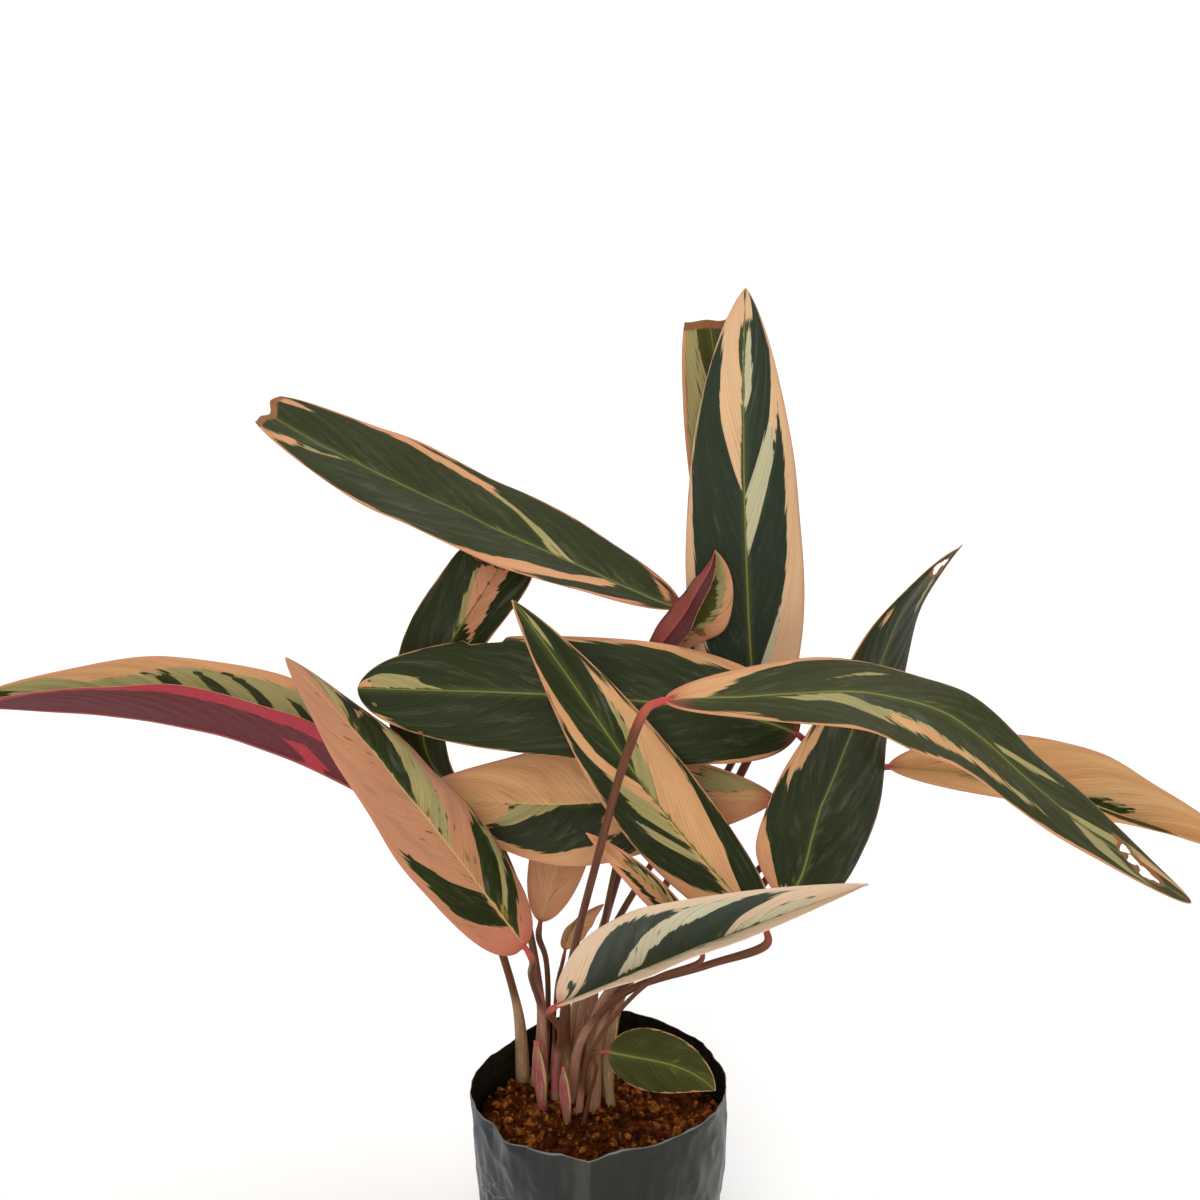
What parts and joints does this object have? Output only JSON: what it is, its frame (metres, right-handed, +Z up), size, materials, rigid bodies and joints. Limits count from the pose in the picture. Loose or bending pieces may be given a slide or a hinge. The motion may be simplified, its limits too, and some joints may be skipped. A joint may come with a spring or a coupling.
{
  "type": "potted prayer plant",
  "caption": "Potted prayer plant: a clump of long pointed variegated leaves on slender stalks, standing in a soft soil-filled nursery bag.",
  "frame": {"origin": "centre of the bag's flat bottom, in the plane of the surface that it stands on", "axes": "+Z up; the plant's front faces -Y, and +X is to the right as it is seen from the front"},
  "size_m": [0.7365, 0.2627, 0.5431],
  "materials": {
    "film": "soft dark grey polyethylene film, dusty and scuffed",
    "soil": "crumbly reddish brown potting soil",
    "stalk": "smooth green-brown to mauve leaf stalk",
    "sheath": "pink leaf sheath with dry tan edges",
    "green_blade": "glossy dark green leaf with cream and sage streaks above, crimson and maroon below",
    "pale_blade": "glossy cream to peach leaf with green bands above, crimson below"
  },
  "bodies": {
    "root": {"bag": "film", "soil": "soil", "stalk_pale_left": "stalk", "blade_pale_left": "pale_blade", "stalk_long_right": "stalk", "blade_long_right": "green_blade", "stalk_front_pale": "stalk", "blade_front_pale": "pale_blade", "stalk_small_low": "stalk", "blade_small_low": "green_blade", "stalk_curled_small": "stalk", "blade_curled_small": "green_blade", "stalk_upper_left": "stalk", "blade_upper_left": "green_blade", "stalk_young_folded": "stalk", "blade_young_folded": "green_blade", "stalk_upright_tall": "stalk", "blade_upright_tall": "green_blade", "stalk_upright_back": "stalk", "blade_upright_back": "green_blade", "stalk_diagonal": "stalk", "blade_diagonal": "green_blade", "stalk_broad_middle": "stalk", "blade_broad_middle": "green_blade", "stalk_broad_lower": "stalk", "blade_broad_lower": "pale_blade", "stalk_right_dark": "stalk", "blade_right_dark": "green_blade", "stalk_right_tan": "stalk", "blade_right_tan": "pale_blade", "stalk_back_left": "stalk", "blade_back_left": "green_blade", "stalk_far_left": "stalk", "blade_far_left": "green_blade", "stalk_young_rolled": "stalk", "blade_young_rolled": "green_blade", "stalk_low_back": "stalk", "blade_low_back": "pale_blade", "sheath_tan": "sheath", "sheath_pink": "sheath", "sheath_short": "sheath"}
  },
  "joints": []
}
